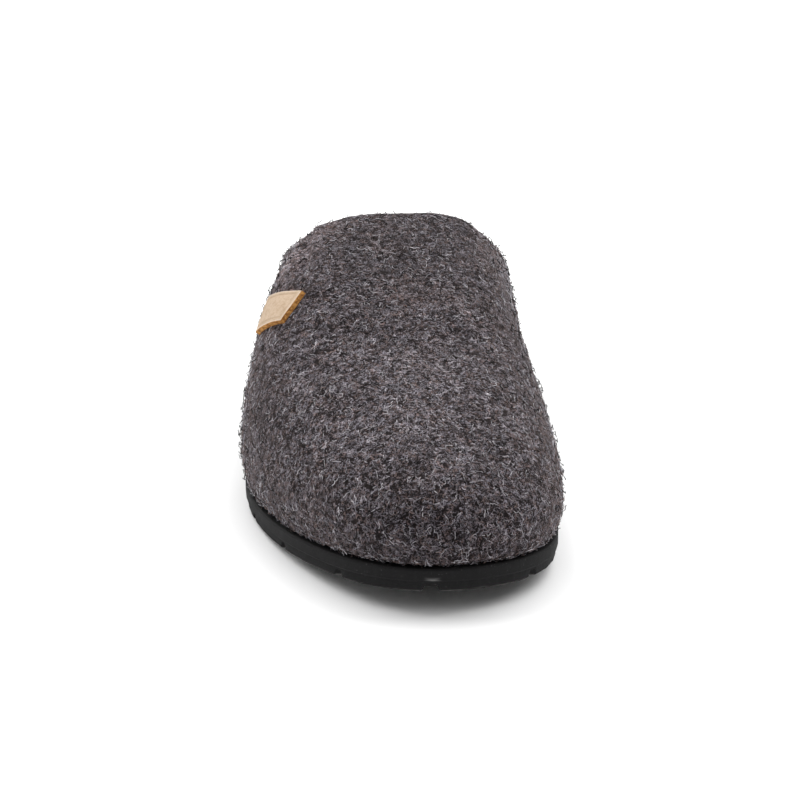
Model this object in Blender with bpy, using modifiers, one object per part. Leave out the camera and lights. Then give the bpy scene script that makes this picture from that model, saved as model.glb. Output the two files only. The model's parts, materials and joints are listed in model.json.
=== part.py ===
"""Right-foot clog slipper of thick felt on a lugged foam sole, in metres.

+Z is up, -Y is the toe and +X is the inner (big toe) side.
The upper is one hollow felt wall, open at the collar and underneath, where the outsole closes it.
"""
import math

import bmesh
import bpy
import numpy as np
from mathutils import Vector
from mathutils.bvhtree import BVHTree

# Driving dimensions
LENGTH = 0.272
BALL_WIDTH = 0.1065
INSTEP_HEIGHT = 0.086
HEEL_RIM_HEIGHT = 0.0445
FELT = 0.0035
CLEARANCE = 0.0003

SOLE_THICKNESS = 0.0076
SOLE_INSET = 0.0014
TOE_SPRING = 0.0085
ARCH_RISE = 0.0025
HEEL_BEVEL = 0.002
SIDE_STEP = 0.0008
STEP_HEIGHT = 0.0031
SOLE_EDGE = 0.0006
LUG_DEPTH = 0.0025
GROOVE_WIDTH = 0.004
GROOVE_FLARE = 0.0011
CHANNEL_WIDTH = 0.006
CHANNEL_DEPTH = 0.0020

BULGE_HEIGHT = 0.0120
TUCK = 0.0014
FEATHER_RADIUS = 0.0038
LASTING_MARGIN = 0.008

BED_PLAY = 0.0003
BED_TOE = 0.0055
BED_HEEL = 0.0150
BED_TOE_RIM = 0.00125
BED_CUP = 0.0050
BED_ARCH = 0.0060
BED_LEAN = 0.12

LABEL_LENGTH = 0.0205
LABEL_HEIGHT = 0.0145
LABEL_THICKNESS = 0.0018

# Mesh density
MERGE = 0.00001
TANGENT_STEP = 0.001
OUTLINE_SAMPLES = 2400
CHANNEL_STATIONS = 16
FEATHER_STEPS = 3
VAMP_COLUMNS = 22
QUARTER_COLUMNS = 18
VAMP_ROWS = 14
SIDE_ROWS = 9
LABEL_COLUMNS = 9
LABEL_ROWS = 6

# Plan outline at the widest level: shares of LENGTH from the toe and of BALL_WIDTH to the inner side.
# It runs from the toe down the outer side to the heel, and back up the inner side.
OUTLINE = (
    # along, across
    (0.000, 0.096),
    (0.019, -0.069),
    (0.074, -0.214),
    (0.158, -0.346),
    (0.224, -0.420),
    (0.298, -0.476),
    (0.371, -0.500),
    (0.518, -0.484),
    (0.647, -0.456),
    (0.776, -0.430),
    (0.868, -0.399),
    (0.934, -0.332),
    (0.982, -0.200),
    (1.000, -0.022),
    (0.982, 0.156),
    (0.934, 0.288),
    (0.868, 0.358),
    (0.757, 0.392),
    (0.629, 0.408),
    (0.500, 0.428),
    (0.371, 0.466),
    (0.250, 0.497),
    (0.165, 0.498),
    (0.105, 0.470),
    (0.047, 0.378),
    (0.013, 0.246),
)
HEEL_POINT = 13

# Cross-sections: crown height as a share of INSTEP_HEIGHT, squareness of each side and inward lean.
# Behind the throat the crown is where the felt would close over the instep, above the collar.
SECTIONS = (
    # along, crown, square_out, square_in, lean
    (0.00, 0.50, 2.3, 2.2, 0.02),
    (0.12, 0.60, 2.3, 2.2, 0.03),
    (0.25, 0.71, 2.4, 2.3, 0.05),
    (0.38, 0.84, 3.1, 2.6, 0.08),
    (0.50, 0.96, 3.5, 3.0, 0.11),
    (0.56, 1.00, 3.1, 3.2, 0.12),
    (0.68, 1.00, 3.1, 3.2, 0.10),
    (0.80, 1.00, 2.9, 3.0, 0.08),
    (1.00, 1.00, 2.8, 2.8, 0.06),
)

# Collar height: shares of the way from HEEL_RIM_HEIGHT up to INSTEP_HEIGHT, on the outer and inner side.
COLLAR = (
    # along, outer, inner
    (0.580, 0.793, 0.741),
    (0.603, 0.662, 0.606),
    (0.640, 0.565, 0.496),
    (0.676, 0.461, 0.385),
    (0.706, 0.372, 0.285),
    (0.735, 0.281, 0.196),
    (0.780, 0.150, 0.088),
    (0.835, 0.049, 0.022),
    (0.900, 0.003, 0.000),
    (1.000, 0.000, 0.000),
)

# Places along the shoe, as shares of LENGTH
CROWN_START = 0.125
THROAT = 0.563
THROAT_CORNER = 0.581
CROWN_END = 0.835
SPRING_START = 0.335
ARCH_START = 0.455
ARCH_END = 0.675
BEVEL_START = 0.910
HEEL_LIFT_START = 0.35
HEEL_LIFT_END = 0.70
SUPPORT_MIDDLE = 0.56
SUPPORT_REACH = 0.11
SIDE_BLEND = 0.20
TOE_CAP_REACH = 0.09
TOE_CAP_PASSES = 8

# Tread: cross grooves at their outer and inner ends, as shares of LENGTH
GROOVES = (
    # outer_end, inner_end
    (0.068, 0.070),
    (0.176, 0.186),
    (0.286, 0.300),
    (0.392, 0.404),
    (0.706, 0.700),
    (0.796, 0.790),
    (0.886, 0.880),
)
CHANNELS = (
    # start, end
    (-0.020, 0.425),
    (0.680, 0.930),
)

# Label: its middle, as shares of LENGTH and INSTEP_HEIGHT, and how far its rear end drops, in degrees
LABEL_ALONG = 0.412
LABEL_LEVEL = 0.735
LABEL_DROP = 46.0

FELT_COLOUR = (0.075, 0.068, 0.066)
SOLE_COLOUR = (0.014, 0.014, 0.015)
BED_COLOUR = (0.11, 0.10, 0.095)
LEATHER_COLOUR = (0.74, 0.60, 0.43)


def clear_scene():
    for thing in list(bpy.data.objects):
        bpy.data.objects.remove(thing, do_unlink=True)


def new_collection(name):
    collection = bpy.data.collections.new(name)
    bpy.context.scene.collection.children.link(collection)
    return collection


def material(name, colour, roughness):
    result = bpy.data.materials.new(name)
    result.use_nodes = True
    shader = result.node_tree.nodes["Principled BSDF"]
    shader.inputs["Base Color"].default_value = (*colour, 1.0)
    shader.inputs["Roughness"].default_value = roughness
    shader.inputs["Metallic"].default_value = 0.0
    return result


def closed_spline(points, count):
    """Evenly spaced points of a smooth closed curve through the given points."""
    closed = np.vstack([points, points[:1]])
    steps = np.linalg.norm(np.diff(closed, axis=0), axis=1) ** 0.5
    knots = np.concatenate([[0.0], np.cumsum(steps)])
    size = len(points)
    system = np.zeros((size, size))
    right = np.zeros((size, 2))
    for i in range(size):
        before = steps[i - 1]
        after = steps[i]
        system[i, i - 1] = before
        system[i, i] = 2.0 * (before + after)
        system[i, (i + 1) % size] = after
        rise_after = (closed[i + 1] - closed[i]) / after
        rise_before = (closed[i] - points[i - 1]) / before
        right[i] = 6.0 * (rise_after - rise_before)
    bend = np.linalg.solve(system, right)
    bend = np.vstack([bend, bend[:1]])
    result = []
    for at in np.linspace(0.0, knots[-1], count):
        i = min(int(np.searchsorted(knots, at, side="right")) - 1, size - 1)
        step = steps[i]
        a = (knots[i + 1] - at) / step
        b = (at - knots[i]) / step
        curve = ((a ** 3 - a) * bend[i] + (b ** 3 - b) * bend[i + 1]) * step ** 2 / 6.0
        result.append(a * closed[i] + b * closed[i + 1] + curve)
    return np.array(result)


def to_y(along):
    return (along - 0.5) * LENGTH


def to_along(y):
    return y / LENGTH + 0.5


def column(table, index):
    return np.array([row[index] for row in table])


def smooth_read(table, index, along):
    """Read a table's column with a cubic, so that its rows never show as kinks."""
    x = column(table, 0)
    y = column(table, index)
    slopes = np.gradient(y, x)
    along = min(max(along, x[0]), x[-1])
    i = min(int(np.searchsorted(x, along, side="right")) - 1, len(x) - 2)
    step = x[i + 1] - x[i]
    t = (along - x[i]) / step
    start = (2 * t ** 3 - 3 * t ** 2 + 1) * y[i] + (t ** 3 - 2 * t ** 2 + t) * step * slopes[i]
    end = (3 * t ** 2 - 2 * t ** 3) * y[i + 1] + (t ** 3 - t ** 2) * step * slopes[i + 1]
    return start + end


def spring_rise(y):
    """How far the toe spring lifts the sole at this place."""
    start = to_y(SPRING_START)
    reach = start + LENGTH / 2
    return TOE_SPRING * max(0.0, (start - y) / reach) ** 1.5


def underside(y):
    """Height of the lugs' tips: flat at the forefoot and heel, raised at the arch and the ends."""
    rise = spring_rise(y)
    along = to_along(y)
    if ARCH_START < along < ARCH_END:
        share = (along - ARCH_START) / (ARCH_END - ARCH_START)
        rise += ARCH_RISE * math.sin(math.pi * share) ** 2
    if along > BEVEL_START:
        rise += HEEL_BEVEL * ((along - BEVEL_START) / (1.0 - BEVEL_START)) ** 2
    return rise


def sole_top(y):
    return SOLE_THICKNESS + spring_rise(y)


def widest_level(y):
    return sole_top(y) + CLEARANCE + BULGE_HEIGHT


def axis_x(y):
    """The shoe's long axis, from the foremost point of the toe to the rearmost of the heel."""
    toe = OUTLINE[0][1] * BALL_WIDTH
    heel = OUTLINE[HEEL_POINT][1] * BALL_WIDTH
    return toe + (heel - toe) * to_along(y)


class Half:
    """One side of the plan outline, sampled from the toe point to the heel point."""

    def __init__(self, points, side):
        self.side = side
        self.points = points
        lengths = np.linalg.norm(np.diff(points, axis=0), axis=1)
        self.reach = np.concatenate([[0.0], np.cumsum(lengths)])

    def at(self, reach):
        x = np.interp(reach, self.reach, self.points[:, 0])
        y = np.interp(reach, self.reach, self.points[:, 1])
        return np.array([x, y])

    def reach_at_y(self, y):
        return float(np.interp(y, self.points[:, 1], self.reach))

    def inward(self, reach):
        """Unit vector across the outline, towards the inside of the shoe."""
        ahead = self.at(min(reach + TANGENT_STEP, self.reach[-1]))
        run = ahead - self.at(max(reach - TANGENT_STEP, 0.0))
        if reach <= 0.0:
            run = np.array([self.side, 0.0])
        if reach >= self.reach[-1]:
            run = np.array([-self.side, 0.0])
        run = run / np.linalg.norm(run)
        return np.array([-run[1], run[0]]) * self.side


def make_halves():
    rows = np.array(OUTLINE)
    points = np.column_stack([rows[:, 1] * BALL_WIDTH, (rows[:, 0] - 0.5) * LENGTH])
    dense = closed_spline(points, OUTLINE_SAMPLES + 1)[:-1]
    toe = int(np.argmin(dense[:, 1]))
    ring = np.vstack([dense, dense])
    heel = toe + int(np.argmax(ring[toe:toe + OUTLINE_SAMPLES, 1]))
    outer = ring[toe:heel + 1]
    inner = ring[heel:toe + OUTLINE_SAMPLES + 1][::-1]
    return Half(outer, -1), Half(inner, 1)


class Rib:
    """A line over the shoe, from the plan outline up towards the crown on the long axis."""

    def __init__(self, half, foot_reach, crown_y):
        self.half = half
        self.foot = half.at(foot_reach)
        self.inward = half.inward(foot_reach)
        self.crown = np.array([axis_x(crown_y), crown_y])
        along = to_along(crown_y)
        outer = smooth_read(SECTIONS, 2, along)
        inner = smooth_read(SECTIONS, 3, along)
        from_end = min(foot_reach, half.reach[-1] - foot_reach)
        own = min(from_end / (SIDE_BLEND * LENGTH), 1.0)
        self.power = (outer + inner) / 2 + half.side * own * (inner - outer) / 2
        self.lean = smooth_read(SECTIONS, 4, along)
        self.base = widest_level(self.foot[1])

    def point(self, angle):
        """A point of the outer surface, at an angle of 0 at the widest level and 90 at the crown."""
        rise = math.sin(angle) ** (2.0 / self.power)
        out = max(math.cos(angle), 0.0) ** (2.0 / self.power) * (1.0 - self.lean * rise)
        place = self.crown + (self.foot - self.crown) * out
        crown = smooth_read(SECTIONS, 1, to_along(place[1])) * INSTEP_HEIGHT
        return Vector((place[0], place[1], self.base + (crown - self.base) * rise))

    def angle_at_collar(self, highest):
        """The angle at which the rib meets the collar."""
        index = 1 if self.half.side < 0 else 2
        low = 0.0
        high = highest
        for _ in range(40):
            middle = (low + high) / 2
            place = self.point(middle)
            share = smooth_read(COLLAR, index, to_along(place.y))
            collar = HEEL_RIM_HEIGHT + (INSTEP_HEIGHT - HEEL_RIM_HEIGHT) * share
            if place.z < collar:
                low = middle
            else:
                high = middle
        return low

    def below(self, inset, height):
        """A point under the widest level, given by its inset and its height over the sole."""
        place = self.foot + self.inward * inset
        return Vector((place[0], place[1], sole_top(place[1]) + height))


def make_ribs(half):
    """Ribs from the toe point to the heel point, and the angle where each one ends."""
    corner = half.reach_at_y(to_y(THROAT_CORNER))
    ribs = []
    for i in range(VAMP_COLUMNS + 1):
        share = i / VAMP_COLUMNS
        crown = CROWN_START + (THROAT - CROWN_START) * share
        ribs.append(Rib(half, corner * share, to_y(crown)))
    for i in range(1, QUARTER_COLUMNS + 1):
        share = i / QUARTER_COLUMNS
        crown = THROAT + (CROWN_END - THROAT) * share
        reach = corner + (half.reach[-1] - corner) * share
        ribs.append(Rib(half, reach, to_y(crown)))
    return ribs


def lower_wall():
    """Inset and height over the sole of the felt's outer face, from the lasting margin upwards."""
    rows = [(TUCK + FEATHER_RADIUS + LASTING_MARGIN, CLEARANCE)]
    for turn in np.linspace(0.0, math.pi / 2, FEATHER_STEPS + 1):
        inset = TUCK + FEATHER_RADIUS * (1.0 - math.sin(turn))
        height = CLEARANCE + FEATHER_RADIUS * (1.0 - math.cos(turn))
        rows.append((inset, height))
    rise = BULGE_HEIGHT - FEATHER_RADIUS
    for share in (0.35, 0.70):
        inset = TUCK * (1.0 - share) ** 2
        rows.append((inset, CLEARANCE + FEATHER_RADIUS + rise * share))
    return rows


def inner_wall(height):
    """How far inside the outline the felt's inner face lies, at a height over the sole."""
    outer = np.array(lower_wall() + [(0.0, CLEARANCE + BULGE_HEIGHT), (0.0, 2 * BULGE_HEIGHT)])
    run = np.gradient(outer, axis=0)
    run /= np.linalg.norm(run, axis=1)[:, None]
    inner = outer + np.column_stack([run[:, 1], -run[:, 0]]) * FELT
    return float(np.interp(height, inner[:, 1], inner[:, 0]))


def add_grid(mesh, columns, side, tops):
    """Faces between neighbouring columns of vertices, each up to its own number of rows."""
    for i in range(len(columns) - 1):
        rows = min(tops[i], tops[i + 1])
        for j in range(rows):
            corners = [columns[i][j], columns[i + 1][j], columns[i + 1][j + 1], columns[i][j + 1]]
            if side < 0:
                corners.reverse()
            mesh.faces.new(corners)


def finish_mesh(mesh, name, collection, surface, cut_later=False):
    """Merge what coincides, drop empty faces and put the mesh in the scene."""
    bmesh.ops.remove_doubles(mesh, verts=mesh.verts, dist=MERGE)
    bmesh.ops.dissolve_degenerate(mesh, edges=mesh.edges, dist=MERGE)
    if cut_later:
        bmesh.ops.triangulate(mesh, faces=mesh.faces)
    data = bpy.data.meshes.new(name)
    mesh.to_mesh(data)
    mesh.free()
    data.shade_smooth()
    data.set_sharp_from_angle(angle=math.radians(40.0))
    thing = bpy.data.objects.new(name, data)
    thing.data.materials.append(surface)
    collection.objects.link(thing)
    return thing


def round_toe_cap(mesh):
    """Smooth the felt where all the ribs of the toe meet, at the start of the crown."""
    bmesh.ops.remove_doubles(mesh, verts=mesh.verts, dist=MERGE)
    y = to_y(CROWN_START)
    start = Vector((axis_x(y), y, smooth_read(SECTIONS, 1, CROWN_START) * INSTEP_HEIGHT))
    near = [vert for vert in mesh.verts if (vert.co - start).length < TOE_CAP_REACH * LENGTH]
    for _ in range(TOE_CAP_PASSES):
        bmesh.ops.smooth_vert(mesh, verts=near, factor=0.5, use_axis_x=True, use_axis_y=True, use_axis_z=True)


def make_upper(halves, collection):
    """The felt: one open surface over the last, given its wall by Solidify."""
    mesh = bmesh.new()
    lower = lower_wall()
    base = len(lower)
    for half in halves:
        columns = []
        tops = []
        corner_angle = math.pi / 2 * SIDE_ROWS / VAMP_ROWS
        for i, rib in enumerate(make_ribs(half)):
            rows = VAMP_ROWS if i <= VAMP_COLUMNS else SIDE_ROWS
            end = math.pi / 2 if i <= VAMP_COLUMNS else rib.angle_at_collar(corner_angle)
            points = [rib.below(*row) for row in lower]
            points += [rib.point(end * j / rows) for j in range(rows + 1)]
            columns.append([mesh.verts.new(point) for point in points])
            tops.append(base + rows)
        add_grid(mesh, columns, half.side, tops)
    round_toe_cap(mesh)
    surface = material("felt", FELT_COLOUR, 0.95)
    upper = finish_mesh(mesh, "upper", collection, surface)
    wall = upper.modifiers.new("wall", "SOLIDIFY")
    wall.thickness = FELT
    wall.offset = -1.0
    wall.use_even_offset = True
    wall.use_quality_normals = True
    return upper


def loft_to_axis(halves, name, collection, surface, section, cut_later=False):
    """A closed body: each rib's section starts and ends on the long axis."""
    mesh = bmesh.new()
    for half in halves:
        columns = []
        for rib in make_ribs(half):
            columns.append([mesh.verts.new(point) for point in section(rib)])
        tops = [len(entry) - 1 for entry in columns]
        add_grid(mesh, columns, half.side, tops)
    return finish_mesh(mesh, name, collection, surface, cut_later)


def sole_section(rib):
    """From the axis of the underside, round the stepped side, to the axis of the top face."""
    margin_end = TUCK + FEATHER_RADIUS + LASTING_MARGIN
    rows = [
        # inset, height over the lugs' tips
        (margin_end, 0.0),
        (SOLE_INSET + SIDE_STEP + SOLE_EDGE, 0.0),
        (SOLE_INSET + SIDE_STEP, SOLE_EDGE),
        (SOLE_INSET + SIDE_STEP, STEP_HEIGHT),
        (SOLE_INSET, STEP_HEIGHT + SIDE_STEP),
    ]
    points = [Vector((rib.crown[0], rib.crown[1], underside(rib.crown[1])))]
    for inset, height in rows:
        place = rib.foot + rib.inward * inset
        points.append(Vector((place[0], place[1], underside(place[1]) + height)))
    points.append(rib.below(SOLE_INSET, -SOLE_EDGE))
    points.append(rib.below(SOLE_INSET + SOLE_EDGE, 0.0))
    points.append(rib.below(margin_end, 0.0))
    points.append(Vector((rib.crown[0], rib.crown[1], sole_top(rib.crown[1]))))
    return points


def groove_cutter(name, path, width, depth, collection):
    """A channel with flared sides that follows the underside along a path in plan."""
    mesh = bmesh.new()
    rings = []
    for i, place in enumerate(path):
        run = path[min(i + 1, len(path) - 1)] - path[max(i - 1, 0)]
        across = np.array([-run[1], run[0]]) / np.linalg.norm(run)
        ring = []
        for side, level in ((-1, -1), (1, -1), (1, 1), (-1, 1)):
            corner = place + across * side * (width / 2 - level * GROOVE_FLARE)
            height = underside(corner[1]) + level * depth
            ring.append(mesh.verts.new((corner[0], corner[1], height)))
        rings.append(ring)
    for ring, after in zip(rings, rings[1:]):
        for j in range(4):
            mesh.faces.new([ring[j], ring[(j + 1) % 4], after[(j + 1) % 4], after[j]])
    mesh.faces.new(rings[0])
    mesh.faces.new(rings[-1])
    bmesh.ops.triangulate(mesh, faces=mesh.faces)
    bmesh.ops.recalc_face_normals(mesh, faces=mesh.faces)
    data = bpy.data.meshes.new(name)
    mesh.to_mesh(data)
    mesh.free()
    cutter = bpy.data.objects.new(name, data)
    cutter.hide_render = True
    cutter.display_type = "WIRE"
    collection.objects.link(cutter)
    return cutter


def make_outsole(halves, collection, cutters):
    surface = material("sole_foam", SOLE_COLOUR, 0.75)
    sole = loft_to_axis(halves, "outsole", collection, surface, sole_section, cut_later=True)
    reach = BALL_WIDTH
    paths = []
    for i, (outer, inner) in enumerate(GROOVES):
        ends = np.array([[-reach, to_y(outer)], [reach, to_y(inner)]])
        paths.append(("groove_%d" % i, ends, GROOVE_WIDTH, LUG_DEPTH))
    for i, (start, end) in enumerate(CHANNELS):
        stations = np.linspace(to_y(start), to_y(end), CHANNEL_STATIONS)
        path = np.array([[axis_x(y), y] for y in stations])
        paths.append(("channel_%d" % i, path, CHANNEL_WIDTH, CHANNEL_DEPTH))
    for name, path, width, depth in paths:
        cut = sole.modifiers.new(name, "BOOLEAN")
        cut.operation = "DIFFERENCE"
        cut.solver = "EXACT"
        cut.object = groove_cutter(name, path, width, depth, cutters)
    return sole


def ledge_level():
    """Height over the sole of the bed's ledge, which lies on the lasting margin."""
    return 2 * CLEARANCE + FELT + BED_PLAY


def heel_share(y):
    """0 under the toes and 1 under the heel, with a straight ramp between them."""
    share = (to_along(y) - HEEL_LIFT_START) / (HEEL_LIFT_END - HEEL_LIFT_START)
    return min(max(share, 0.0), 1.0)


def bed_middle(y):
    """Height of the bed's middle over the sole, low at the toe and raised at the heel."""
    share = heel_share(y)
    share = share * share * (3.0 - 2.0 * share)
    return ledge_level() + BED_TOE + (BED_HEEL - BED_TOE) * share


def bed_edge(y, side):
    """Height of the bed's edge over the sole: a heel cup, and an arch support on the inner side."""
    rim = BED_TOE_RIM + (BED_CUP - BED_TOE_RIM) * heel_share(y)
    support = 0.0
    if side > 0:
        support = BED_ARCH * math.exp(-((to_along(y) - SUPPORT_MIDDLE) / SUPPORT_REACH) ** 2)
    return bed_middle(y) + rim + support


def bed_section(rib):
    """From the axis of the bed's underside, over its plug, ledge and side, to the dished top."""
    steepest = 1.5 * TOE_SPRING / (SPRING_START * LENGTH)
    plug = TUCK + FEATHER_RADIUS + LASTING_MARGIN + FELT * steepest + CLEARANCE
    ledge = ledge_level()
    edge = bed_edge(rib.foot[1], rib.half.side)
    points = [Vector((rib.crown[0], rib.crown[1], sole_top(rib.crown[1]) + CLEARANCE))]
    points.append(rib.below(plug, CLEARANCE))
    points.append(rib.below(plug, ledge))
    for level in (ledge, (ledge + edge) / 2, edge - SOLE_EDGE):
        lean = max(0.0, level - BULGE_HEIGHT) * BED_LEAN
        inset = inner_wall(level) + lean + CLEARANCE + BED_PLAY
        points.append(rib.below(inset, level))
    rim = np.array([points[-1].x, points[-1].y])
    for share in (0.04, 0.15, 0.40, 0.70, 1.0):
        place = rim + (rib.crown - rim) * share
        low = bed_middle(place[1])
        height = low + (bed_edge(place[1], rib.half.side) - low) * (1.0 - share) ** 2
        points.append(Vector((place[0], place[1], sole_top(place[1]) + height)))
    return points


def make_insole(halves, collection):
    surface = material("footbed", BED_COLOUR, 0.95)
    return loft_to_axis(halves, "insole", collection, surface, bed_section)


def felt_surface(upper):
    """The finished felt, ready for rays to be cast at it."""
    finished = upper.evaluated_get(bpy.context.evaluated_depsgraph_get())
    data = bpy.data.meshes.new_from_object(finished)
    felt = BVHTree.FromPolygons([v.co for v in data.vertices], [p.vertices for p in data.polygons])
    bpy.data.meshes.remove(data)
    return felt


def make_label(collection, upper):
    """A leather rectangle laid on the outer side of the felt, its rear end dropping with the collar."""
    felt = felt_surface(upper)
    outside = Vector((-BALL_WIDTH, to_y(LABEL_ALONG), LABEL_LEVEL * INSTEP_HEIGHT))
    middle, normal, _, _ = felt.ray_cast(outside, Vector((1.0, 0.0, 0.0)))
    drop = math.radians(LABEL_DROP)
    front = Vector((0.0, -math.cos(drop), math.sin(drop)))
    front = (front - normal * front.dot(normal)).normalized()
    upwards = normal.cross(front)
    mesh = bmesh.new()
    bmesh.ops.create_grid(mesh, x_segments=LABEL_COLUMNS, y_segments=LABEL_ROWS, size=0.5)
    for vert in mesh.verts:
        flat = middle + front * vert.co.x * LABEL_LENGTH + upwards * vert.co.y * LABEL_HEIGHT
        place, facing, _, _ = felt.ray_cast(flat + normal * LABEL_LENGTH, -normal)
        vert.co = place + normal * CLEARANCE / facing.dot(normal)
    surface = material("tan_leather", LEATHER_COLOUR, 0.55)
    label = finish_mesh(mesh, "label", collection, surface)
    wall = label.modifiers.new("thickness", "SOLIDIFY")
    wall.thickness = LABEL_THICKNESS
    wall.offset = 1.0
    wall.use_even_offset = True
    wall.use_quality_normals = True
    return label


def main():
    clear_scene()
    parts = new_collection("clog_slipper")
    cutters = new_collection("cutters")
    halves = make_halves()
    upper = make_upper(halves, parts)
    make_outsole(halves, parts, cutters)
    make_insole(halves, parts)
    make_label(parts, upper)


main()
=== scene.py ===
"""Looks of a right-foot clog slipper of thick melange felt, in metres, with +Z up and the toe at -Y."""
import json
import math

import bmesh
import bpy
from mathutils import Matrix, Vector, noise
from mathutils.bvhtree import BVHTree

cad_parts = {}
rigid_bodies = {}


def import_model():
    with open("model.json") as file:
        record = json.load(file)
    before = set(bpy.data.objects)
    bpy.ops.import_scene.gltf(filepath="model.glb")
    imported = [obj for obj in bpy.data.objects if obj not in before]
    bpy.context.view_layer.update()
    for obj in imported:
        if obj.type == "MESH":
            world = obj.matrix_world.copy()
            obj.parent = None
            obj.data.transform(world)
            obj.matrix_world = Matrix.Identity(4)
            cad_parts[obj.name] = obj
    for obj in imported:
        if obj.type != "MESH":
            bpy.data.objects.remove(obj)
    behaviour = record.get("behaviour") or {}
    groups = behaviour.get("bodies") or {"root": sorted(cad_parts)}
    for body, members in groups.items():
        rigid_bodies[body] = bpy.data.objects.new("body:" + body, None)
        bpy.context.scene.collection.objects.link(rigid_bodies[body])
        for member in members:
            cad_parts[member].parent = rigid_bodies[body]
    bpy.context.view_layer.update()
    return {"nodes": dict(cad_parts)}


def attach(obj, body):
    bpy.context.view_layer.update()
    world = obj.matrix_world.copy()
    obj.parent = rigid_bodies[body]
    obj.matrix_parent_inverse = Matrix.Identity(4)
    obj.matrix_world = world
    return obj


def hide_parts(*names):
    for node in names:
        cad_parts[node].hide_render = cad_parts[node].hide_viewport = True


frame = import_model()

# Sizes of the shoe, as its solids have them
LENGTH = 0.272
BALL_WIDTH = 0.1065
INSTEP_HEIGHT = 0.086

# How a solid's loose triangles become a mesh to work on: points this close are merged,
# and triangles within these angles, in degrees, are paired
MERGE_DISTANCE = 0.00002
PAIR_FACE_ANGLE = 30.0
PAIR_SHAPE_ANGLE = 60.0
SMOOTH_LEVELS = 2

# The felt's relief
LUMP_SIZE = 0.024
LUMP_HEIGHT = 0.00035
PILL_SIZE = 0.007
PILL_HEIGHT = 0.00018
PILL_SHIFT = Vector((5.0, 3.0, 1.0))
SURFACE_WANDER = 0.00015
WANDER_SEED = 1
HEM_REACH = 0.006

# A line inside the shoe, which the felt's outer faces point away from
SPINE_HEIGHT = 0.030
SPINE_SHARE = 0.75

# Creases of the felt, each along its own line. A depth below 0 is a ridge.
CREASE_REACH = 3.0
CREASES = (
    # depth, half_width, points
    (0.0026, 0.0030, ((-0.0335, 0.0175, 0.0745), (-0.0318, 0.0120, 0.0765), (-0.0320, 0.0020, 0.0760),
                      (-0.0325, -0.0100, 0.0735))),
    (-0.0013, 0.0040, ((-0.0270, 0.0150, 0.0800), (-0.0275, 0.0030, 0.0790), (-0.0270, -0.0120, 0.0760),
                       (-0.0260, -0.0260, 0.0715))),
    (0.0006, 0.0080, ((-0.0200, -0.052, 0.0600), (0.0060, -0.058, 0.0640), (0.0300, -0.050, 0.0590))),
    (0.0006, 0.0070, ((0.0330, 0.018, 0.0740), (0.0370, 0.006, 0.0640), (0.0420, -0.006, 0.0520))),
    (-0.0006, 0.0090, ((-0.0250, -0.075, 0.0500), (0.0050, -0.082, 0.0580), (0.0320, -0.074, 0.0520))),
)

# Colours, linear
FELT_DARK = (0.0075, 0.0058, 0.0062)
FELT_MID = (0.032, 0.026, 0.028)
WOOL_PALE = (0.80, 0.765, 0.81)
WOOL_BLUE = (0.42, 0.405, 0.45)
WOOL_BROWN = (0.31, 0.235, 0.22)
WOOL_BLACK = (0.010, 0.008, 0.008)
SHEEN_TINT = (0.90, 0.74, 0.70)
SOLE_BLACK = (0.0085, 0.0083, 0.0087)
SOLE_DUST = (0.07, 0.07, 0.07)
# painted highlight along the sole's lowest edges
SOLE_EDGE_HIGHLIGHT = (0.15, 0.148, 0.147)
LEATHER_FACE = (0.50, 0.375, 0.265)
LEATHER_DARK = (0.36, 0.245, 0.145)
LEATHER_RIM = (0.88, 0.78, 0.66)
LEATHER_CUT = (0.58, 0.29, 0.085)
LEATHER_CUT_DARK = (0.25, 0.10, 0.025)
BED_DARK = (0.032, 0.028, 0.027)
BED_PALE = (0.10, 0.092, 0.090)
FLOOR_WHITE = (0.95, 0.95, 0.95)
FLOOR_GREY = (0.93, 0.93, 0.93)

# Tints that the felt's colour is multiplied by
TINT_LOW = (0.55, 0.525, 0.55)
TINT_HIGH = (0.90, 0.865, 0.90)
TINT_WARM = (0.98, 0.84, 0.80)

# Places on the felt painted darker or paler than the rest, as painted shade and painted light: centre,
# radius, share, tint
# painted shade: the top of the instep made darker
INSTEP = ((0.0, 0.000, 0.084), 0.055, 0.80, (0.50, 0.485, 0.505))
# painted light: the top of the toe made paler
LIT_TOE_TOP = ((0.002, -0.088, 0.056), 0.055, 0.60, (1.22, 1.20, 1.24))
# painted shade: the front of the toe made darker
SHADED_TOE = ((0.006, -0.134, 0.022), 0.040, 0.80, (0.50, 0.475, 0.50))
# painted light: the outer side beside the throat made paler, as if lit from the side
LIT_OUTER_FLANK = ((-0.0380, 0.008, 0.0705), 0.027, 1.0, (1.66, 1.50, 1.49))

# Noises in the materials, and the one that breaks the matted strands into short runs
SEED_SHIFT = (0.37, 0.61, 0.83)
STRAND_WAVER = 0.9
RUN_SCALE = 0.60
RUN_START = 0.60
RUN_FULL = 0.66

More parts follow.
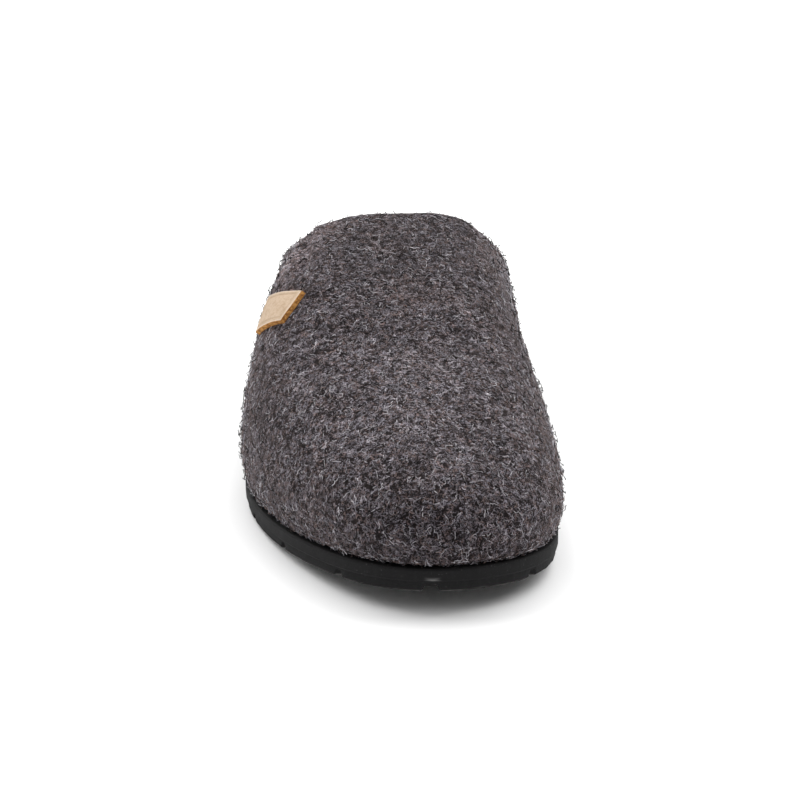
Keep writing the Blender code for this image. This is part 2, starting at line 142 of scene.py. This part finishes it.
# Loose fibres
FIBRES_PER_SQUARE_METRE = 90000
FIBRE_STEPS = 4
FIBRE_RISE = 0.4
FIBRE_WAVE = 2.5
FIBRE_SCALES = (0.6, 1.3)
CLUMP_SCALE = 120.0
CLUMP_GAIN = 1.3
CLUMP_LEAST = 0.35
INSIDE_SHARE = 0.12
SEED_STEP = 10
SHAPE_SEED = 1
STREW_SEED = 40
FIBRES = (
    # name, colour, spread of its tone, lengths, thickness, bend, more at the hem, tilt
    ("pale_fibres", WOOL_PALE, 0.35, (0.0014, 0.0020, 0.0026, 0.0018, 0.0034, 0.0023),
     0.00016, 4.2, 1.5, 0.10),
    ("blue_fibres", WOOL_BLUE, 0.35, (0.0013, 0.0019, 0.0025, 0.0017, 0.0031, 0.0022),
     0.00017, 4.6, 1.2, 0.09),
    ("brown_fibres", WOOL_BROWN, 0.40, (0.0015, 0.0021, 0.0027, 0.0019, 0.0033, 0.0024),
     0.00016, 4.0, 2.2, 0.11),
    ("black_fibres", WOOL_BLACK, 0.40, (0.0016, 0.0022, 0.0028, 0.0020, 0.0034, 0.0025),
     0.00024, 3.8, 1.0, 0.08),
)

# Sole. Angles are in degrees.
SOLE_EDGE_WIDTH = 0.0004
SOLE_EDGE_ANGLE = 38.0
SOLE_FLAT_ANGLE = 1.0
SOLE_SHARP_ANGLE = 32.0
# The painted highlight along the sole's lowest edges: the length of the bands along the foot, and how
# high above the lowest point in each band it reaches
HIGHLIGHT_BAND = 0.004
HIGHLIGHT_HEIGHT = 0.0012

# Label. Its place is given by shares of the shoe's length and height, its angles are in degrees.
LABEL_LENGTH = 0.0205
LABEL_HEIGHT = 0.0145
LABEL_THICKNESS = 0.0018
LABEL_ALONG = 0.412
LABEL_LEVEL = 0.735
LABEL_DROP = 46.0
LABEL_GAP = 0.0003
LABEL_LEAST_FACING = 0.5
LABEL_COLUMNS = 68
LABEL_ROWS = 48
LABEL_SMOOTHING = 15
LABEL_EDGE_WIDTH = 0.00030
LABEL_SHARP_ANGLE = 50.0
RIM_WIDTH = 0.0010
PRESSED_LINE_INSET = 0.0020
PRESSED_LINE_WIDTH = 0.00030
PRESSED_LINE_DEPTH = 0.00022

# Floor, lights and camera. Angles are in degrees.
FLOOR_SIZE = 30.0
WORLD_STRENGTH = 0.31
LIGHT_WIDTH = 60.0
LIGHTS = (
    # name, where it comes from, strength
    ("left_light", (-0.62, 0.58, 0.90), 2.6),
    ("right_light", (0.62, 0.58, 0.90), 2.6),
    ("top_light", (0.0, -0.30, 1.00), 0.8),
)
LOOK_AT = Vector((0.00064, 0.0, 0.0225))
CAMERA_DISTANCE = 1.050
CAMERA_ELEVATION = 20.0
CAMERA_LENS = 135.36
CAMERA_SENSOR = 36.0


class Value:
    """A node's number output. Python's operators on it add Math nodes."""

    def __init__(self, nodes, socket):
        self.nodes = nodes
        self.socket = socket

    def __add__(self, other):
        return self.nodes.maths("ADD", self, other)

    def __radd__(self, other):
        return self.nodes.maths("ADD", other, self)

    def __sub__(self, other):
        return self.nodes.maths("SUBTRACT", self, other)

    def __rsub__(self, other):
        return self.nodes.maths("SUBTRACT", other, self)

    def __mul__(self, other):
        return self.nodes.maths("MULTIPLY", self, other)

    def __rmul__(self, other):
        return self.nodes.maths("MULTIPLY", other, self)

    def __abs__(self):
        return self.nodes.maths("ABSOLUTE", self)

    def between(self, low, high):
        """0 at low and 1 at high, with a soft run between them."""
        node = self.nodes.add(
            "ShaderNodeMapRange", {"interpolation_type": "SMOOTHSTEP"},
            {"Value": self, "From Min": low, "From Max": high},
        )
        return Value(self.nodes, node.outputs["Result"])


class Nodes:
    """A node tree that is filled by one method."""

    def __init__(self, tree):
        self.tree = tree

    def add(self, kind, settings=None, inputs=None):
        """A new node: its settings first, then its inputs, each a number, a Value or a socket."""
        node = self.tree.nodes.new(kind)
        for name, setting in (settings or {}).items():
            setattr(node, name, setting)
        for name, entry in (inputs or {}).items():
            if isinstance(name, int):
                socket = node.inputs[name]
            else:
                socket = next(item for item in node.inputs if item.name == name and item.enabled)
            if isinstance(entry, Value):
                entry = entry.socket
            if isinstance(entry, bpy.types.NodeSocket):
                self.tree.links.new(entry, socket)
            else:
                socket.default_value = entry
        return node

    def maths(self, operation, *entries):
        node = self.add("ShaderNodeMath", {"operation": operation}, dict(enumerate(entries)))
        return Value(self, node.outputs[0])

    def mix(self, factor, low, high, blend="MIX"):
        """A colour between two colours."""
        low, high = ((*colour, 1.0) if isinstance(colour, tuple) else colour for colour in (low, high))
        node = self.add(
            "ShaderNodeMix", {"data_type": "RGBA", "blend_type": blend},
            {0: factor, 6: low, 7: high},
        )
        return node.outputs[2]


class Surface(Nodes):
    """A Principled material whose patterns read Object coordinates."""

    def __init__(self, name, roughness, specular, sheen=0.0, sheen_tint=(1.0, 1.0, 1.0)):
        self.material = bpy.data.materials.new(name)
        self.material.use_nodes = True
        super().__init__(self.material.node_tree)
        self.shader = self.tree.nodes["Principled BSDF"]
        self.shader.inputs["Roughness"].default_value = roughness
        self.shader.inputs["Specular IOR Level"].default_value = specular
        self.shader.inputs["Sheen Weight"].default_value = sheen
        self.shader.inputs["Sheen Roughness"].default_value = 0.5
        self.shader.inputs["Sheen Tint"].default_value = (*sheen_tint, 1.0)
        self.place = self.add("ShaderNodeTexCoord").outputs["Object"]

    def attribute(self, name):
        """A value that the piece's own mesh holds at each of its points."""
        return Value(self, self.add("ShaderNodeAttribute", {"attribute_name": name}).outputs["Fac"])

    def noise(self, scale, detail=2.0, roughness=0.5, seed=0.0, distortion=0.0, stretch=(1.0, 1.0, 1.0)):
        """A noise whose pattern starts at a place of its own for each seed."""
        place = self.add("ShaderNodeMapping", None, {
            "Vector": self.place, "Location": tuple(seed * part for part in SEED_SHIFT), "Scale": stretch,
        }).outputs[0]
        node = self.add("ShaderNodeTexNoise", None, {
            "Vector": place, "Scale": scale, "Detail": detail,
            "Roughness": roughness, "Distortion": distortion,
        })
        return Value(self, node.outputs[0])

    def strands(self, scale, width, seed, cover):
        """Curly lines: the level lines of a noise, broken into short runs by another one."""
        field = self.noise(scale, detail=1.0, seed=seed, distortion=STRAND_WAVER)
        line = 1.0 - abs(field - 0.5).between(0.0, width)
        breaks = self.noise(scale * RUN_SCALE, detail=1.0, seed=seed + 5.0)
        return line * breaks.between(RUN_START - cover, RUN_FULL - cover)

    def near(self, centre, radius):
        """1 at a place on the shoe, fading to 0 at the radius."""
        gap = self.add("ShaderNodeVectorMath", {"operation": "DISTANCE"}, {0: self.place, 1: centre})
        return 1.0 - Value(self, gap.outputs["Value"]).between(0.0, radius)

    def tinted(self, tone, spot):
        """The tone with one place on the shoe taken towards that place's tint."""
        centre, radius, share, tint = spot
        return self.mix(self.near(centre, radius) * share, tone, tint)

    def colour(self, socket):
        self.tree.links.new(socket, self.shader.inputs["Base Color"])

    def roughness(self, value):
        self.tree.links.new(value.socket, self.shader.inputs["Roughness"])

    def bump(self, height, distance, strength):
        node = self.add("ShaderNodeBump", None, {
            "Height": height, "Distance": distance, "Strength": strength,
        })
        self.tree.links.new(node.outputs[0], self.shader.inputs["Normal"])


def felt_surface():
    """Near-black wool with curly pale, bluish and brown fibres matted into it, with painted shade and
    painted light in places.
    """
    felt = Surface("melange_felt", roughness=0.95, specular=0.06, sheen=0.12, sheen_tint=SHEEN_TINT)
    patch = felt.noise(85.0, detail=3.0, roughness=0.6, seed=1.0)
    warm = felt.noise(60.0, seed=21.0)
    grit = felt.noise(1300.0, roughness=0.6, seed=2.0)
    brown = felt.strands(650.0, width=0.040, seed=3.0, cover=0.15)
    blue = felt.strands(740.0, width=0.042, seed=7.0, cover=0.13)
    fine = felt.strands(880.0, width=0.042, seed=17.0, cover=0.13)
    pale = felt.strands(600.0, width=0.030, seed=11.0, cover=0.13)

    colour = felt.mix(grit.between(0.50, 0.75), FELT_DARK, FELT_MID)
    colour = felt.mix(brown * 0.85, colour, WOOL_BROWN)
    colour = felt.mix(fine * 0.85, colour, WOOL_BLUE)
    colour = felt.mix(blue * 0.85, colour, WOOL_BLUE)
    colour = felt.mix(pale * 0.80, colour, WOOL_PALE)

    tone = felt.mix(patch.between(0.28, 0.72), TINT_LOW, TINT_HIGH)
    # painted shade on the instep
    tone = felt.tinted(tone, INSTEP)
    tone = felt.mix(warm.between(0.45, 0.75) * 0.5, tone, TINT_WARM)
    # painted light on the toe top and the outer side, painted shade on the toe front
    for spot in (LIT_TOE_TOP, SHADED_TOE, LIT_OUTER_FLANK):
        tone = felt.tinted(tone, spot)
    felt.colour(felt.mix(1.0, colour, tone, "MULTIPLY"))

    height = grit * 0.4 + brown * 0.4 + blue * 0.5 + pale * 0.7 + fine * 0.4
    felt.bump(height, distance=0.00045, strength=0.9)
    return felt.material


def wool_surface(name, colour, spread):
    """Single wool fibres, whose tone varies from place to place."""
    wool = Surface(name, roughness=0.75, specular=0.20)
    tone = wool.noise(320.0, roughness=0.6, seed=4.0).between(0.36, 0.64)
    dark = tuple(part * (1.0 - spread) for part in colour)
    wool.colour(wool.mix(tone, dark, colour))
    return wool.material


def sole_surface():
    """Matte black moulded foam with a fine grain, a little dust and a painted highlight along its lower
    edges.
    """
    foam = Surface("black_foam", roughness=0.75, specular=0.14)
    grain = foam.noise(2200.0, roughness=0.6, seed=2.0)
    cloud = foam.noise(60.0, detail=3.0, roughness=0.6, seed=5.0)
    drag = foam.noise(500.0, detail=3.0, roughness=0.6, seed=15.0, stretch=(1.0, 1.0, 0.15))
    speck = foam.noise(1500.0, detail=1.0, seed=9.0).between(0.68, 0.76)
    dust = speck * cloud.between(0.40, 0.60) * 0.7 + cloud.between(0.40, 0.80) * 0.05
    dust = dust + drag.between(0.50, 0.80) * 0.08 + grain.between(0.50, 0.80) * 0.10
    # painted highlight: a pale line along the lowest edges, broken up by a noise
    painted_highlight = foam.attribute("rub").between(0.55, 1.0) * cloud.between(0.05, 0.55)
    colour = foam.mix(dust, SOLE_BLACK, SOLE_DUST)
    foam.colour(foam.mix(painted_highlight, colour, SOLE_EDGE_HIGHLIGHT))
    foam.roughness(0.60 + cloud * 0.25)
    foam.bump(grain + drag * 0.8, distance=0.00016, strength=0.7)
    return foam.material


def leather_surface():
    """Tan leather: fine creases, streaks and patches of a darker tone, and a paler rim."""
    hide = Surface("tan_leather_face", roughness=0.5, specular=0.30)
    cell = hide.add(
        "ShaderNodeTexVoronoi", {"feature": "DISTANCE_TO_EDGE"},
        {"Vector": hide.place, "Scale": 1400.0},
    )
    crease = 1.0 - Value(hide, cell.outputs[0]).between(0.0, 0.20)
    patch = hide.noise(170.0, detail=3.0, roughness=0.6, seed=3.0)
    streak = hide.noise(800.0, detail=4.0, roughness=0.7, seed=6.0)
    tone = patch.between(0.42, 0.72) * 0.40 + streak.between(0.42, 0.70) * 0.55 + crease * 0.22
    colour = hide.mix(tone, LEATHER_FACE, LEATHER_DARK)
    colour = hide.mix(hide.attribute("line") * 0.45, colour, LEATHER_DARK)
    hide.colour(hide.mix(hide.attribute("rim") * (0.55 + patch * 0.6), colour, LEATHER_RIM))
    hide.roughness(0.48 + streak * 0.2)
    hide.bump(streak * 0.5 - crease * 0.5, distance=0.00012, strength=0.7)
    return hide.material


def cut_surface():
    """The label's raw cut edge: fibrous, orange-tan and darker in spots."""
    hide = Surface("tan_leather_cut", roughness=0.8, specular=0.15)
    streak = hide.noise(700.0, detail=4.0, roughness=0.7, seed=2.0, stretch=(1.0, 1.0, 1.6))
    hide.colour(hide.mix(streak.between(0.42, 0.58), LEATHER_CUT, LEATHER_CUT_DARK))
    hide.bump(streak, distance=0.00025, strength=0.8)
    return hide.material


def bed_surface():
    """The footbed's cover: short smooth felt, greyer and finer than the upper."""
    cover = Surface("footbed_felt", roughness=0.95, specular=0.06, sheen=0.12)
    grit = cover.noise(1500.0, detail=3.0, roughness=0.65, seed=3.0)
    brown = cover.strands(900.0, width=0.07, seed=13.0, cover=0.14)
    blue = cover.strands(1300.0, width=0.06, seed=19.0, cover=0.12)
    wear = cover.noise(28.0, seed=8.0)
    colour = cover.mix(grit.between(0.38, 0.66), BED_DARK, BED_PALE)
    colour = cover.mix(brown * 0.6, colour, WOOL_BROWN)
    colour = cover.mix(blue * 0.5, colour, WOOL_BLUE)
    cover.colour(cover.mix(wear.between(0.35, 0.70) * 0.35, colour, BED_DARK))
    cover.bump(grit * 0.7 + blue * 0.4, distance=0.0004, strength=0.8)
    return cover.material


def floor_surface():
    """A matte white floor, faintly uneven in tone."""
    floor = Surface("white_floor", roughness=0.9, specular=0.1)
    grain = floor.noise(6.0, seed=1.0)
    floor.colour(floor.mix(grain, FLOOR_GREY, FLOOR_WHITE))
    return floor.material


def merged_copy(node, squares=False):
    """A bmesh of a CAD node, its points merged and, if asked, its triangles paired."""
    mesh = bmesh.new()
    mesh.from_mesh(frame["nodes"][node].data)
    bmesh.ops.remove_doubles(mesh, verts=mesh.verts, dist=MERGE_DISTANCE)
    if squares:
        bmesh.ops.join_triangles(
            mesh, faces=mesh.faces, cmp_seam=False, cmp_sharp=False, cmp_uvs=False, cmp_vcols=False,
            cmp_materials=False, angle_face_threshold=math.radians(PAIR_FACE_ANGLE),
            angle_shape_threshold=math.radians(PAIR_SHAPE_ANGLE),
        )
    return mesh


def show(mesh, name, materials, sharp=None):
    """Put a bmesh in the scene as a piece that rides on the shoe."""
    data = bpy.data.meshes.new(name)
    mesh.to_mesh(data)
    mesh.free()
    for material in materials:
        data.materials.append(material)
    data.shade_smooth()
    if sharp:
        data.set_sharp_from_angle(angle=math.radians(sharp))
    piece = bpy.data.objects.new(name, data)
    bpy.context.scene.collection.objects.link(piece)
    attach(piece, "root")
    return piece


def modified(mesh, kind, **settings):
    """The bmesh after one of Blender's modifiers."""
    data = bpy.data.meshes.new("blank")
    mesh.to_mesh(data)
    mesh.free()
    blank = bpy.data.objects.new("blank", data)
    bpy.context.scene.collection.objects.link(blank)
    change = blank.modifiers.new("change", kind)
    for name, value in settings.items():
        setattr(change, name, value)
    finished = bpy.data.meshes.new_from_object(blank.evaluated_get(bpy.context.evaluated_depsgraph_get()))
    result = bmesh.new()
    result.from_mesh(finished)
    bpy.data.objects.remove(blank)
    bpy.data.meshes.remove(data)
    bpy.data.meshes.remove(finished)
    return result


def smoothed(node):
    """A CAD node's form with its facets made smooth."""
    return modified(merged_copy(node, squares=True), "SUBSURF", levels=SMOOTH_LEVELS,
                    render_levels=SMOOTH_LEVELS)


def distance_to_line(place, points):
    """Least distance from a place to a line through the points."""
    gaps = []
    for start, end in zip(points, points[1:]):
        run = end - start
        share = max(0.0, min(1.0, (place - start).dot(run) / run.length_squared))
        gaps.append((place - start - run * share).length)
    return min(gaps)


def felt_relief(place, creases):
    """How far the felt stands out here: soft lumps, pills and the listed creases."""
    height = noise.noise(place / LUMP_SIZE) * LUMP_HEIGHT
    height += noise.noise(place / PILL_SIZE + PILL_SHIFT) * PILL_HEIGHT
    for depth, half_width, points in creases:
        away = distance_to_line(place, points) / half_width
        if away < CREASE_REACH:
            height -= depth * math.exp(-away * away)
    return height


def make_felt():
    """The upper: the solid's form, made smooth, with the felt's relief and slightly uneven edges."""
    sole = BVHTree.FromBMesh(merged_copy("outsole"))
    creases = [(depth, width, [Vector(point) for point in points]) for depth, width, points in CREASES]
    mesh = smoothed("upper")
    mesh.normal_update()
    noise.seed_set(WANDER_SEED)  # without it, noise_vector follows the clock
    outside = mesh.verts.layers.float.new("outside")
    hem = mesh.verts.layers.float.new("hem")
    for vert in mesh.verts:
        spine = Vector((0.0, vert.co.y * SPINE_SHARE, SPINE_HEIGHT))
        out = 1.0 if vert.normal.dot(vert.co - spine) > 0.0 else -1.0
        vert[outside] = max(out, 0.0)
        over_sole = sole.find_nearest(vert.co)[3]
        vert[hem] = vert[outside] * max(0.0, 1.0 - over_sole / HEM_REACH)
        vert.co += vert.normal * out * felt_relief(vert.co, creases)
        vert.co += noise.noise_vector(vert.co / PILL_SIZE) * SURFACE_WANDER
    felt = show(mesh, "felt_upper", [felt_surface()])
    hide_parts("upper")
    return felt


def strand(length, thickness, bend, seed):
    """One wool fibre: a three-sided strand that wanders over the felt, lying close to it."""
    mesh = bmesh.new()
    end = bmesh.ops.create_circle(mesh, cap_ends=True, radius=thickness / 2, segments=3)
    bmesh.ops.rotate(mesh, verts=end["verts"], matrix=Matrix.Rotation(math.radians(90), 3, "Y"))
    tip = mesh.faces[:]
    heading = 0.0
    place = Vector()
    for step in range(FIBRE_STEPS):
        region = bmesh.ops.extrude_face_region(mesh, geom=tip)
        tip = [item for item in region["geom"] if isinstance(item, bmesh.types.BMFace)]
        verts = [item for item in region["geom"] if isinstance(item, bmesh.types.BMVert)]
        turn = bend * noise.noise(Vector((seed * 1.7, step * 1.3, 0.5)))
        heading += turn
        wave = noise.noise(Vector((seed * 2.3, step * 1.1, 7.5)))
        move = Vector((
            math.cos(heading) * length / FIBRE_STEPS,
            math.sin(heading) * length / FIBRE_STEPS,
            thickness * (FIBRE_WAVE * wave + FIBRE_RISE),
        ))
        place += move
        bmesh.ops.translate(mesh, verts=verts, vec=move)
        bmesh.ops.rotate(mesh, verts=verts, cent=place, matrix=Matrix.Rotation(turn, 3, "Z"))
    bmesh.ops.recalc_face_normals(mesh, faces=mesh.faces)
    return mesh


def strand_shapes(name, lengths, thickness, bend, seed):
    """A collection, never linked to the scene, of the fibre shapes that the scatter picks from."""
    shapes = bpy.data.collections.new(name)
    for i, length in enumerate(lengths):
        mesh = strand(length, thickness, bend, seed + i)
        data = bpy.data.meshes.new("%s_%d" % (name, i))
        mesh.to_mesh(data)
        mesh.free()
        shapes.objects.link(bpy.data.objects.new(data.name, data))
    return shapes


def scatter(name, skin, shapes, surface, at_hem, tilt, seed):
    """Fibres strewn over the felt by Geometry Nodes, then made one real mesh."""
    tree = bpy.data.node_groups.new(name, "GeometryNodeTree")
    tree.interface.new_socket(name="Geometry", in_out="INPUT", socket_type="NodeSocketGeometry")
    tree.interface.new_socket(name="Geometry", in_out="OUTPUT", socket_type="NodeSocketGeometry")
    nodes = Nodes(tree)
    inlet = nodes.add("NodeGroupInput")

    def read(attribute):
        node = nodes.add("GeometryNodeInputNamedAttribute", {"data_type": "FLOAT"}, {"Name": attribute})
        return Value(nodes, node.outputs[0])

    def random(kind, **limits):
        own_seed = seed + len(tree.nodes)
        node = nodes.add("FunctionNodeRandomValue", {"data_type": kind}, {**limits, "Seed": own_seed})
        return next(item for item in node.outputs if item.enabled)

    clump = Value(nodes, nodes.add("ShaderNodeTexNoise", None, {
        "Scale": CLUMP_SCALE, "Detail": 2.0,
    }).outputs[0])
    where = read("outside") * (1.0 - INSIDE_SHARE) + INSIDE_SHARE
    cover = where * (clump.between(0.35, 0.65) * CLUMP_GAIN + CLUMP_LEAST) + read("hem") * at_hem
    points = nodes.add("GeometryNodeDistributePointsOnFaces", None, {
        "Mesh": inlet.outputs[0], "Density": cover * FIBRES_PER_SQUARE_METRE, "Seed": seed,
    })
    turn = random("FLOAT_VECTOR", Min=(-tilt, -tilt, 0.0), Max=(tilt, tilt, math.tau))
    turned = nodes.add("FunctionNodeRotateRotation", {"rotation_space": "LOCAL"}, {
        "Rotation": points.outputs["Rotation"], "Rotate By": turn,
    })
    source = nodes.add("GeometryNodeCollectionInfo", None, {
        "Collection": shapes, "Separate Children": True, "Reset Children": True,
    })
    shortest, longest = FIBRE_SCALES
    strewn = nodes.add("GeometryNodeInstanceOnPoints", None, {
        "Points": points.outputs[0], "Instance": source.outputs[0], "Pick Instance": True,
        "Instance Index": random("INT", Min=0, Max=len(shapes.objects) - 1),
        "Rotation": turned.outputs[0], "Scale": random("FLOAT", Min=shortest, Max=longest),
    })
    real = nodes.add("GeometryNodeRealizeInstances", None, {"Geometry": strewn.outputs[0]})
    nodes.add("NodeGroupOutput", None, {0: real.outputs[0]})

    mesh = bmesh.new()
    mesh.from_mesh(skin.data)
    return show(modified(mesh, "NODES", node_group=tree), name, [surface])


def make_fibres(felt):
    """Loose fibres of each colour over the felt, more of them along its lower edge."""
    for i, (name, colour, spread, lengths, thickness, bend, at_hem, tilt) in enumerate(FIBRES):
        shapes = strand_shapes(name + "_shape", lengths, thickness, bend, SEED_STEP * i + SHAPE_SEED)
        surface = wool_surface(name, colour, spread)
        scatter(name, felt, shapes, surface, at_hem, tilt, SEED_STEP * i + STREW_SEED)


def make_sole():
    """The sole: the solid's form with its edges eased, and a painted highlight marked along its lowest
    edges.
    """
    mesh = merged_copy("outsole")
    bmesh.ops.dissolve_limit(mesh, angle_limit=math.radians(SOLE_FLAT_ANGLE), verts=mesh.verts,
                             edges=mesh.edges)
    mesh = modified(mesh, "BEVEL", width=SOLE_EDGE_WIDTH, segments=2, limit_method="ANGLE",
                    angle_limit=math.radians(SOLE_EDGE_ANGLE), use_clamp_overlap=True,
                    miter_outer="MITER_ARC")
    lowest = {}
    for vert in mesh.verts:
        band = round(vert.co.y / HIGHLIGHT_BAND)
        lowest[band] = min(lowest.get(band, math.inf), vert.co.z)
    # painted highlight: 1 at the lowest point of each band, fading upwards
    rub = mesh.verts.layers.float.new("rub")
    for vert in mesh.verts:
        over = vert.co.z - lowest[round(vert.co.y / HIGHLIGHT_BAND)]
        vert[rub] = max(0.0, 1.0 - over / HIGHLIGHT_HEIGHT)
    sole = show(mesh, "foam_sole", [sole_surface()], sharp=SOLE_SHARP_ANGLE)
    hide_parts("outsole")


def make_bed():
    """The footbed under the foot, smooth and softly dished."""
    bed = show(smoothed("insole"), "footbed", [bed_surface()])
    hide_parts("insole")


def label_seat():
    """Where the label's middle lies on the upper, the way out from it, and its own two directions."""
    upper = BVHTree.FromBMesh(merged_copy("upper"))
    outside = Vector((-BALL_WIDTH, (LABEL_ALONG - 0.5) * LENGTH, LABEL_LEVEL * INSTEP_HEIGHT))
    middle, normal, _, _ = upper.ray_cast(outside, Vector((1.0, 0.0, 0.0)))
    drop = math.radians(LABEL_DROP)
    front = Vector((0.0, -math.cos(drop), math.sin(drop)))
    front = (front - normal * front.dot(normal)).normalized()
    return middle, normal, front, normal.cross(front)


def make_label(felt):
    """The bare leather label on the outer side, with a pressed line round its face and raw cut edges."""
    skin = BVHTree.FromObject(felt, bpy.context.evaluated_depsgraph_get())
    middle, normal, front, upwards = label_seat()

    mesh = bmesh.new()
    bmesh.ops.create_grid(mesh, x_segments=LABEL_COLUMNS, y_segments=LABEL_ROWS, size=0.5)
    to_edge, rim, line = (mesh.verts.layers.float.new(name) for name in ("to_edge", "rim", "line"))
    for vert in mesh.verts:
        vert[to_edge] = min(LABEL_LENGTH * (0.5 - abs(vert.co.x)), LABEL_HEIGHT * (0.5 - abs(vert.co.y)))
        flat = middle + front * vert.co.x * LABEL_LENGTH + upwards * vert.co.y * LABEL_HEIGHT
        place, facing, _, _ = skin.ray_cast(flat + normal * LABEL_LENGTH, -normal)
        vert.co = place + normal * LABEL_GAP / max(facing.dot(normal), LABEL_LEAST_FACING)
    for _ in range(LABEL_SMOOTHING):
        bmesh.ops.smooth_vert(mesh, verts=mesh.verts, factor=0.5, use_axis_x=True, use_axis_y=True,
                              use_axis_z=True)
    mesh.normal_update()
    if sum((face.normal for face in mesh.faces), Vector()).dot(normal) < 0.0:
        bmesh.ops.reverse_faces(mesh, faces=mesh.faces)

    raised = bmesh.ops.extrude_face_region(mesh, geom=mesh.faces[:], use_keep_orig=True)
    top = [item for item in raised["geom"] if isinstance(item, bmesh.types.BMFace)]
    lifted = [item for item in raised["geom"] if isinstance(item, bmesh.types.BMVert)]
    for vert in lifted:
        edge = vert[to_edge]
        vert[rim] = max(0.0, 1.0 - edge / RIM_WIDTH)
        vert[line] = math.exp(-((edge - PRESSED_LINE_INSET) / PRESSED_LINE_WIDTH) ** 2)
        vert.co += normal * (LABEL_THICKNESS - PRESSED_LINE_DEPTH * vert[line])
    bmesh.ops.recalc_face_normals(mesh, faces=mesh.faces)

    for face in mesh.faces:
        face.material_index = 1
    for face in top:
        face.material_index = 0
    border = [edge for edge in mesh.edges
              if sorted(face.material_index for face in edge.link_faces) == [0, 1]]
    bmesh.ops.bevel(mesh, geom=border, offset=LABEL_EDGE_WIDTH, offset_type="OFFSET", affect="EDGES",
                    segments=2, profile=0.5, material=-1)
    label = show(mesh, "leather_label", [leather_surface(), cut_surface()],
                 sharp=LABEL_SHARP_ANGLE)
    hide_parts("label")


def make_floor():
    """A wide white floor."""
    mesh = bmesh.new()
    bmesh.ops.create_grid(mesh, x_segments=1, y_segments=1, size=FLOOR_SIZE)
    data = bpy.data.meshes.new("floor")
    mesh.to_mesh(data)
    mesh.free()
    data.materials.append(floor_surface())
    floor = bpy.data.objects.new("floor", data)
    bpy.context.scene.collection.objects.link(floor)


def make_lights():
    """Even white light all round, and soft lights from behind on both sides and from above."""
    world = bpy.data.worlds.new("studio")
    bpy.context.scene.world = world
    world.use_nodes = True
    background = world.node_tree.nodes["Background"]
    background.inputs["Color"].default_value = (1.0, 1.0, 1.0, 1.0)
    background.inputs["Strength"].default_value = WORLD_STRENGTH
    for name, source, strength in LIGHTS:
        light = bpy.data.lights.new(name, "SUN")
        light.angle = math.radians(LIGHT_WIDTH)
        light.energy = strength
        lamp = bpy.data.objects.new(name, light)
        lamp.location = source
        lamp.rotation_euler = Vector(source).to_track_quat("Z", "Y").to_euler()
        bpy.context.scene.collection.objects.link(lamp)


def make_camera():
    """The camera, looking along the foot from in front of the toe and above it."""
    elevation = math.radians(CAMERA_ELEVATION)
    camera = bpy.data.cameras.new("camera")
    camera.lens = CAMERA_LENS
    camera.sensor_width = CAMERA_SENSOR
    view = bpy.data.objects.new("camera", camera)
    view.location = LOOK_AT + Vector((0.0, -math.cos(elevation), math.sin(elevation))) * CAMERA_DISTANCE
    view.rotation_euler = (math.radians(90.0 - CAMERA_ELEVATION), 0.0, 0.0)
    bpy.context.scene.collection.objects.link(view)
    bpy.context.scene.camera = view
    bpy.context.scene.view_settings.view_transform = "Standard"


make_floor()
make_lights()
make_camera()
felt_upper = make_felt()
make_fibres(felt_upper)
make_sole()
make_bed()
make_label(felt_upper)
